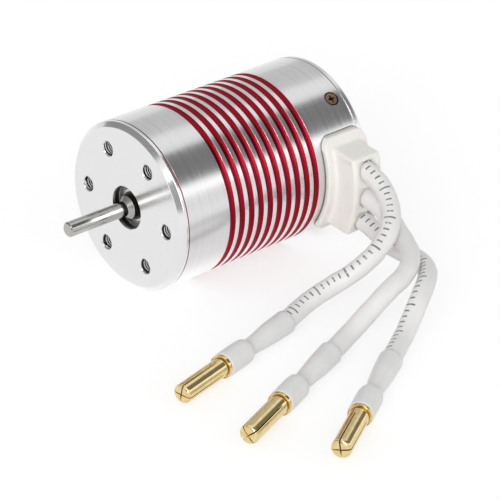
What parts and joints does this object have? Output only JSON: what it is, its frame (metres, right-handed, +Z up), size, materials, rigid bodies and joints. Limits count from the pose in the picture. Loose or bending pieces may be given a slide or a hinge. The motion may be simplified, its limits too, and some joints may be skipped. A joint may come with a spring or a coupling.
{
  "type": "brushless motor",
  "caption": "Finned round can motor with a stepped output shaft, a flat face with tapped mounting holes and sleeved leads that end in bullet plugs.",
  "frame": {"origin": "centre of the flat mounting face, on the axis of the shaft", "axes": "-Y along the output shaft, out of the mounting face; +Y to the rear of the can; +X to the side that the leads leave from; +Z up, with the can lying 18 mm above the surface it rests on"},
  "size_m": [0.0981, 0.0729, 0.036],
  "materials": {
    "polished_aluminium": "polished, with crimson anodising in the grooves",
    "screw_steel": "dark bronze tint",
    "bearing_steel": "ground",
    "cage_brass": "satin",
    "shield_steel": "pressed sheet",
    "shaft_steel": "ground",
    "shim_steel": "oil blackened",
    "rotor_steel": "turned",
    "magnet": "nickel plated",
    "magnet_wrap": "bound fibre",
    "balance_brass": "turned",
    "lamination": "stacked sheet",
    "insulation": "matt",
    "enamelled_copper": "enamelled",
    "ivory_plastic": "satin",
    "sleeve": "translucent white",
    "tinned_wire": "tinned",
    "gold_plate": "bright plating"
  },
  "bodies": {
    "housing": {"boot_a": "sleeve", "boot_b": "sleeve", "boot_c": "sleeve", "bullet_a": "gold_plate", "bullet_b": "gold_plate", "bullet_c": "gold_plate", "can": "polished_aluminium", "front_bearing_outer_race": "bearing_steel", "front_bearing_shields": "shield_steel", "front_end_bell": "polished_aluminium", "front_insulator": "insulation", "housing_screws": "screw_steel", "lead_a": "sleeve", "lead_b": "sleeve", "lead_c": "sleeve", "phase_tail_a": "enamelled_copper", "phase_tail_b": "enamelled_copper", "phase_tail_c": "enamelled_copper", "preload_washer": "shield_steel", "rear_bearing_outer_race": "bearing_steel", "rear_bearing_shields": "shield_steel", "rear_end_bell": "polished_aluminium", "rear_insulator": "insulation", "slot_liners": "insulation", "solder_a": "tinned_wire", "solder_b": "tinned_wire", "solder_c": "tinned_wire", "star_ring": "enamelled_copper", "stator_core": "lamination", "winding_a": "enamelled_copper", "winding_b": "enamelled_copper", "winding_c": "enamelled_copper", "wire_block": "ivory_plastic", "wire_end_a": "tinned_wire", "wire_end_b": "tinned_wire", "wire_end_c": "tinned_wire"},
    "rotor": {"shaft": "shaft_steel", "front_shim": "shim_steel", "rotor_core": "rotor_steel", "magnets": "magnet", "magnet_sleeve": "magnet_wrap", "front_balance_ring": "balance_brass", "rear_balance_ring": "balance_brass", "front_spacer": "shaft_steel", "rear_spacer": "shaft_steel", "front_bearing_inner_race": "bearing_steel", "rear_bearing_inner_race": "bearing_steel"},
    "front_ball_set": {"front_bearing_balls": "bearing_steel", "front_bearing_cage": "cage_brass"},
    "rear_ball_set": {"rear_bearing_balls": "bearing_steel", "rear_bearing_cage": "cage_brass"}
  },
  "joints": [
    {"name": "rotor_spin", "type": "hinge", "parent": "housing", "child": "rotor", "pos_m": [0, 0, 0], "axis": [0, -1, 0], "continuous": true},
    {"name": "front_balls_spin", "type": "hinge", "parent": "housing", "child": "front_ball_set", "pos_m": [0, 0.0037, 0], "axis": [0, -1, 0], "continuous": true},
    {"name": "rear_balls_spin", "type": "hinge", "parent": "housing", "child": "rear_ball_set", "pos_m": [0, 0.0465, 0], "axis": [0, -1, 0], "continuous": true}
  ],
  "couplings": [
    {"joint": "front_balls_spin", "follows": "rotor_spin", "ratio": 0.40075},
    {"joint": "rear_balls_spin", "follows": "rotor_spin", "ratio": 0.40075}
  ]
}
